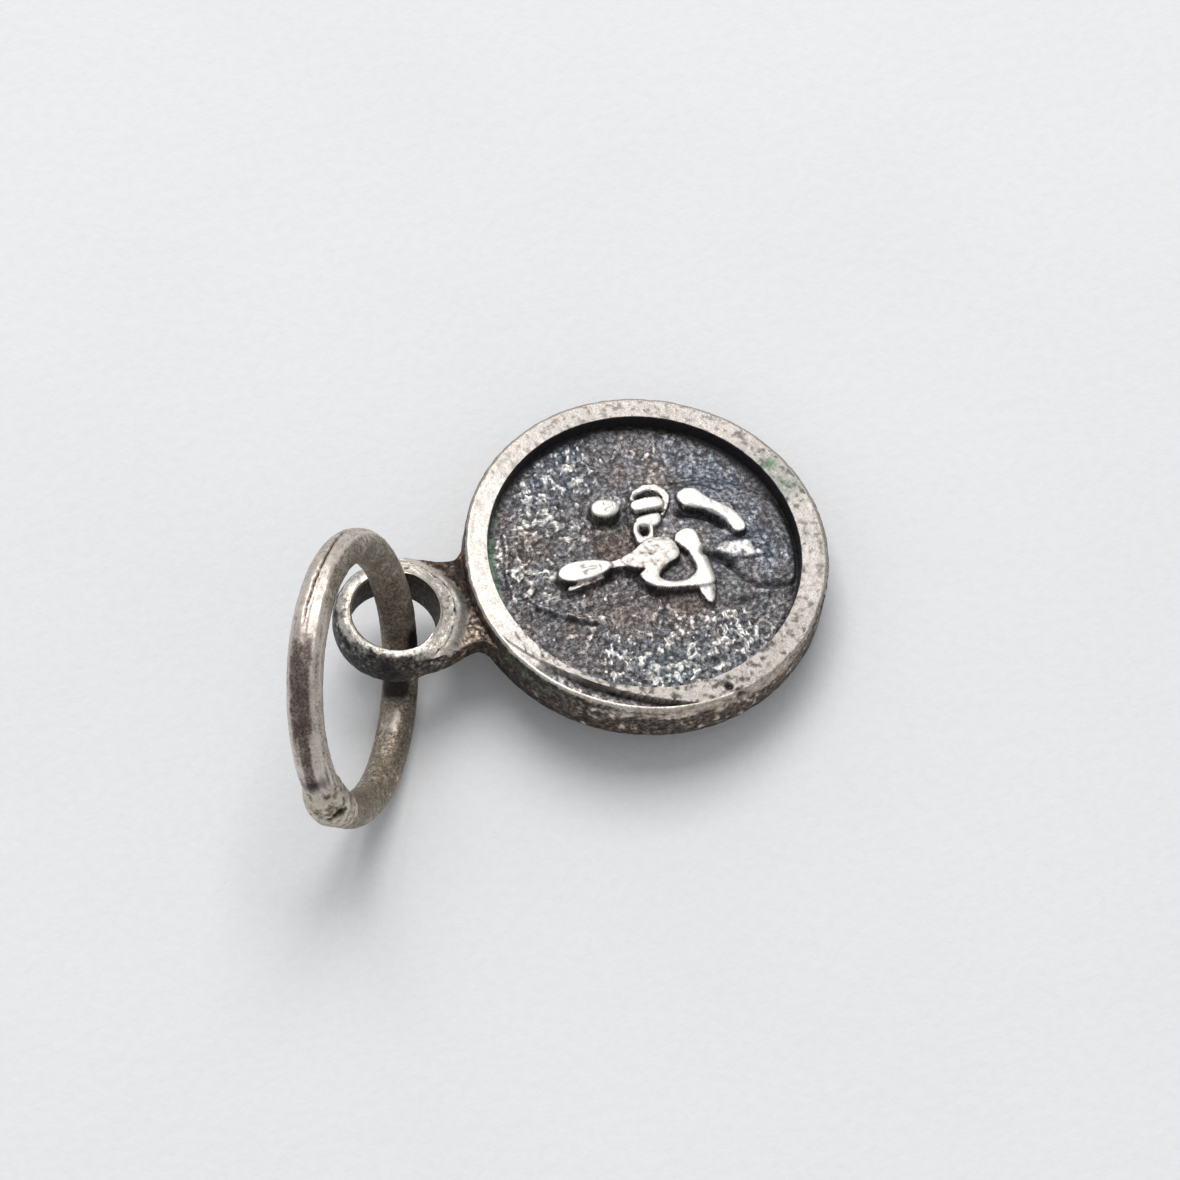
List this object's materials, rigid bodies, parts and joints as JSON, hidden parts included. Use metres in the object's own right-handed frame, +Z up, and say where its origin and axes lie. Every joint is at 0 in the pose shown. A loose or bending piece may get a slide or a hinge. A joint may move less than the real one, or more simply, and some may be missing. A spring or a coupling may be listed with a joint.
{
  "type": "religious medal",
  "caption": "Small round oxidised silver devotional medal with a worn relief, an eye on a short neck and a soldered wire jump ring.",
  "frame": {"origin": "middle of the resting outline, on the surface that the medal lies on", "axes": "+Z up; +X from the eye and ring towards the disc's far edge; +Y towards the figure's carried child"},
  "size_m": [0.0194, 0.013, 0.0092],
  "materials": {
    "oxidised_silver": "cast sterling silver, dark oxide in the low places, edges worn bright",
    "worn_silver": "struck sterling silver, polished high points over a dark granular field",
    "wire_silver": "drawn sterling wire, tarnished, with lengthwise wear",
    "solder": "pitted grey silver solder"
  },
  "bodies": {
    "medal": {"case_body": "oxidised_silver", "face_disc": "worn_silver", "bail_eye": "oxidised_silver"},
    "ring": {"jump_ring": "wire_silver", "ring_solder_bead": "solder"}
  },
  "joints": [
    {"name": "ring_swing", "type": "hinge", "parent": "medal", "child": "ring", "pos_m": [-0.00535, -0.00113, 0.00273], "axis": [0.923, -0.3742, -0.0891], "range_deg": [0, 98]}
  ]
}
